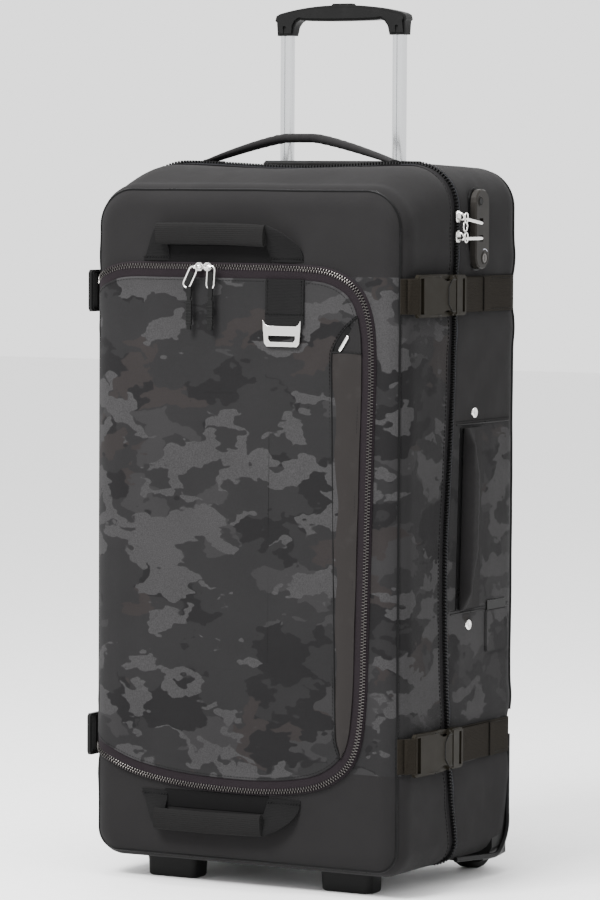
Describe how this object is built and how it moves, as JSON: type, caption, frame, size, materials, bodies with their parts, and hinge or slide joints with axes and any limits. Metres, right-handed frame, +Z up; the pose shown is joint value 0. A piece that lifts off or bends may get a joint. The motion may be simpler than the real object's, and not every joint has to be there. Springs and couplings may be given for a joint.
{
  "type": "rolling duffel bag",
  "caption": "Upright wheeled duffel bag with a trolley handle, a front pocket, compression straps, carry handles and a side lock.",
  "frame": {"origin": "on the floor under the centre of the bag's bounding box", "axes": "+Z up, -Y towards the front pocket, +X towards the side with the lock"},
  "size_m": [0.414, 0.33, 0.968],
  "materials": {
    "black_fabric": "coated woven polyester, matt with a soft sheen",
    "camouflage_fabric": "woven polyester with a grey camouflage print",
    "lining": "thin woven lining",
    "black_webbing": "ribbed woven webbing",
    "olive_webbing": "ribbed woven webbing",
    "olive_plastic": "moulded acetal, satin",
    "black_plastic": "moulded, fine texture",
    "rubber": "matt",
    "nickel_metal": "polished nickel plate",
    "aluminium": "satin anodised"
  },
  "bodies": {
    "rear_case": {"rear_shell": "black_fabric", "back_panel": "black_plastic", "trolley_cover": "lining", "guide_tube_left": "aluminium", "guide_tube_right": "aluminium", "handle_bezel": "black_plastic", "wheel_housing_left": "black_plastic", "wheel_housing_right": "black_plastic", "axle_left": "nickel_metal", "axle_right": "nickel_metal", "lock_body": "black_plastic", "strap_rear_upper_left": "olive_webbing", "strap_rear_upper_right": "olive_webbing", "strap_rear_lower_left": "olive_webbing", "strap_rear_lower_right": "olive_webbing"},
    "lid": {"lid_shell": "black_fabric", "front_pocket": "camouflage_fabric", "foot_left": "black_plastic", "foot_right": "black_plastic", "webbing_tab": "black_webbing", "strap_front_upper_left": "olive_webbing", "strap_front_upper_right": "olive_webbing", "strap_front_lower_left": "olive_webbing", "strap_front_lower_right": "olive_webbing", "clip_socket_upper_left": "olive_plastic", "clip_socket_upper_right": "olive_plastic", "clip_socket_lower_left": "olive_plastic", "clip_socket_lower_right": "olive_plastic"},
    "trolley": {"trolley_grip": "black_plastic", "trolley_tube_left": "aluminium", "trolley_tube_right": "aluminium"},
    "release": {"trolley_button": "black_plastic", "release_bar": "nickel_metal"},
    "catch_left": {"catch_left": "nickel_metal"},
    "catch_right": {"catch_right": "nickel_metal"},
    "wheel_left": {"hub_left": "black_plastic", "tyre_left": "rubber"},
    "wheel_right": {"hub_right": "black_plastic", "tyre_right": "rubber"},
    "top_handle": {"top_handle": "black_webbing"},
    "side_handle": {"side_handle": "black_webbing"},
    "front_handle_upper": {"front_handle_upper": "black_webbing"},
    "front_handle_lower": {"front_handle_lower": "black_webbing"},
    "lock_cylinder": {"lock_cylinder": "nickel_metal"},
    "lock_button": {"lock_button": "nickel_metal"},
    "zip_slider_upper": {"zip_slider_upper": "nickel_metal"},
    "zip_slider_lower": {"zip_slider_lower": "nickel_metal"},
    "zip_pull_upper": {"zip_pull_upper": "nickel_metal"},
    "zip_pull_lower": {"zip_pull_lower": "nickel_metal"},
    "pocket_slider_left": {"pocket_slider_left": "nickel_metal"},
    "pocket_slider_right": {"pocket_slider_right": "nickel_metal"},
    "pocket_pull_left": {"pocket_pull_left": "rubber"},
    "pocket_pull_right": {"pocket_pull_right": "rubber"},
    "side_pocket_puller": {"side_pocket_puller": "nickel_metal"},
    "metal_plate": {"metal_plate": "nickel_metal"},
    "luggage_tag": {"luggage_tag": "black_webbing"},
    "clip_tongue_upper_left": {"clip_tongue_upper_left": "olive_plastic"},
    "clip_tongue_upper_right": {"clip_tongue_upper_right": "olive_plastic"},
    "clip_tongue_lower_left": {"clip_tongue_lower_left": "olive_plastic"},
    "clip_tongue_lower_right": {"clip_tongue_lower_right": "olive_plastic"}
  },
  "joints": [
    {"name": "lid_hinge", "type": "hinge", "parent": "rear_case", "child": "lid", "pos_m": [-0.2075, -0.03, 0.4], "axis": [0, 0, -1], "range_deg": [0, 120]},
    {"name": "trolley_slide", "type": "slide", "parent": "rear_case", "child": "trolley", "axis": [0, 0, 1], "range_m": [-0.139, 0.12]},
    {"name": "button_press", "type": "slide", "parent": "trolley", "child": "release", "axis": [0, 0, -1], "range_m": [0, 0.0025], "stiffness_N_per_m": 300, "springref_m": -0.002},
    {"name": "catch_left_slide", "type": "slide", "parent": "trolley", "child": "catch_left", "axis": [-1, 0, 0], "range_m": [0, 0.002]},
    {"name": "catch_right_slide", "type": "slide", "parent": "trolley", "child": "catch_right", "axis": [1, 0, 0], "range_m": [0, 0.002]},
    {"name": "wheel_left_spin", "type": "hinge", "parent": "rear_case", "child": "wheel_left", "pos_m": [-0.143, 0.127, 0.038], "axis": [1, 0, 0], "continuous": true},
    {"name": "wheel_right_spin", "type": "hinge", "parent": "rear_case", "child": "wheel_right", "pos_m": [0.143, 0.127, 0.038], "axis": [1, 0, 0], "continuous": true},
    {"name": "top_handle_fold", "type": "hinge", "parent": "rear_case", "child": "top_handle", "pos_m": [0, -0.008, 0.797], "axis": [1, 0, 0], "range_deg": [-60, 60]},
    {"name": "side_handle_fold", "type": "hinge", "parent": "rear_case", "child": "side_handle", "pos_m": [0.1965, 0.04, 0.403], "axis": [0, 0, 1], "range_deg": [0, 70]},
    {"name": "front_handle_upper_fold", "type": "hinge", "parent": "lid", "child": "front_handle_upper", "pos_m": [-0.0275, -0.1473, 0.6835], "axis": [1, 0, 0], "range_deg": [0, 25]},
    {"name": "front_handle_lower_fold", "type": "hinge", "parent": "lid", "child": "front_handle_lower", "pos_m": [-0.0275, -0.1473, 0.1005], "axis": [1, 0, 0], "range_deg": [-30, 0]},
    {"name": "lock_cylinder_turn", "type": "hinge", "parent": "rear_case", "child": "lock_cylinder", "pos_m": [0.2023, 0.028, 0.687], "axis": [1, 0, 0], "range_deg": [0, 90]},
    {"name": "lock_button_press", "type": "slide", "parent": "rear_case", "child": "lock_button", "axis": [-1, 0, 0], "range_m": [0, 0.001], "stiffness_N_per_m": 200, "springref_m": -0.001},
    {"name": "zip_slider_upper_slide", "type": "slide", "parent": "rear_case", "child": "zip_slider_upper", "axis": [0, 0, 1], "range_m": [0, 0.009]},
    {"name": "zip_slider_lower_slide", "type": "slide", "parent": "rear_case", "child": "zip_slider_lower", "axis": [0, 0, 1], "range_m": [-0.018, 0]},
    {"name": "zip_pull_upper_swing", "type": "hinge", "parent": "zip_slider_upper", "child": "zip_pull_upper", "pos_m": [0.2039, -0.02, 0.7268], "axis": [0, 0, -1], "range_deg": [0, 150]},
    {"name": "zip_pull_lower_swing", "type": "hinge", "parent": "zip_slider_lower", "child": "zip_pull_lower", "pos_m": [0.2039, -0.02, 0.7085], "axis": [0, 0, -1], "range_deg": [0, 150]},
    {"name": "clip_upper_left_release", "type": "slide", "parent": "lid", "child": "clip_tongue_upper_left", "axis": [0, 1, 0], "range_m": [0, 0.024]},
    {"name": "clip_lower_left_release", "type": "slide", "parent": "lid", "child": "clip_tongue_lower_left", "axis": [0, 1, 0], "range_m": [0, 0.024]},
    {"name": "clip_upper_right_release", "type": "slide", "parent": "rear_case", "child": "clip_tongue_upper_right", "axis": [0, 1, 0], "range_m": [0, 0.024]},
    {"name": "clip_lower_right_release", "type": "slide", "parent": "rear_case", "child": "clip_tongue_lower_right", "axis": [0, 1, 0], "range_m": [0, 0.024]},
    {"name": "pocket_slider_left_slide", "type": "slide", "parent": "lid", "child": "pocket_slider_left", "axis": [1, 0, 0], "range_m": [-0.085, 0]},
    {"name": "pocket_slider_right_slide", "type": "slide", "parent": "lid", "child": "pocket_slider_right", "axis": [1, 0, 0], "range_m": [0, 0.09]},
    {"name": "pocket_pull_left_swing", "type": "hinge", "parent": "pocket_slider_left", "child": "pocket_pull_left", "pos_m": [-0.0575, -0.159, 0.668], "axis": [1, 0, 0], "range_deg": [-100, 0]},
    {"name": "pocket_pull_right_swing", "type": "hinge", "parent": "pocket_slider_right", "child": "pocket_pull_right", "pos_m": [-0.0352, -0.159, 0.668], "axis": [1, 0, 0], "range_deg": [-100, 0]},
    {"name": "side_pocket_puller_slide", "type": "slide", "parent": "lid", "child": "side_pocket_puller", "axis": [0, 0, 1], "range_m": [-0.38, 0]},
    {"name": "metal_plate_swing", "type": "hinge", "parent": "lid", "child": "metal_plate", "pos_m": [0.051, -0.1537, 0.6155], "axis": [1, 0, 0], "range_deg": [-90, 0]},
    {"name": "luggage_tag_slide", "type": "slide", "parent": "rear_case", "child": "luggage_tag", "axis": [0, 0, 1], "range_m": [0, 0.035]}
  ],
  "couplings": [
    {"joint": "catch_left_slide", "follows": "button_press", "ratio": 0.8},
    {"joint": "catch_right_slide", "follows": "button_press", "ratio": 0.8}
  ]
}
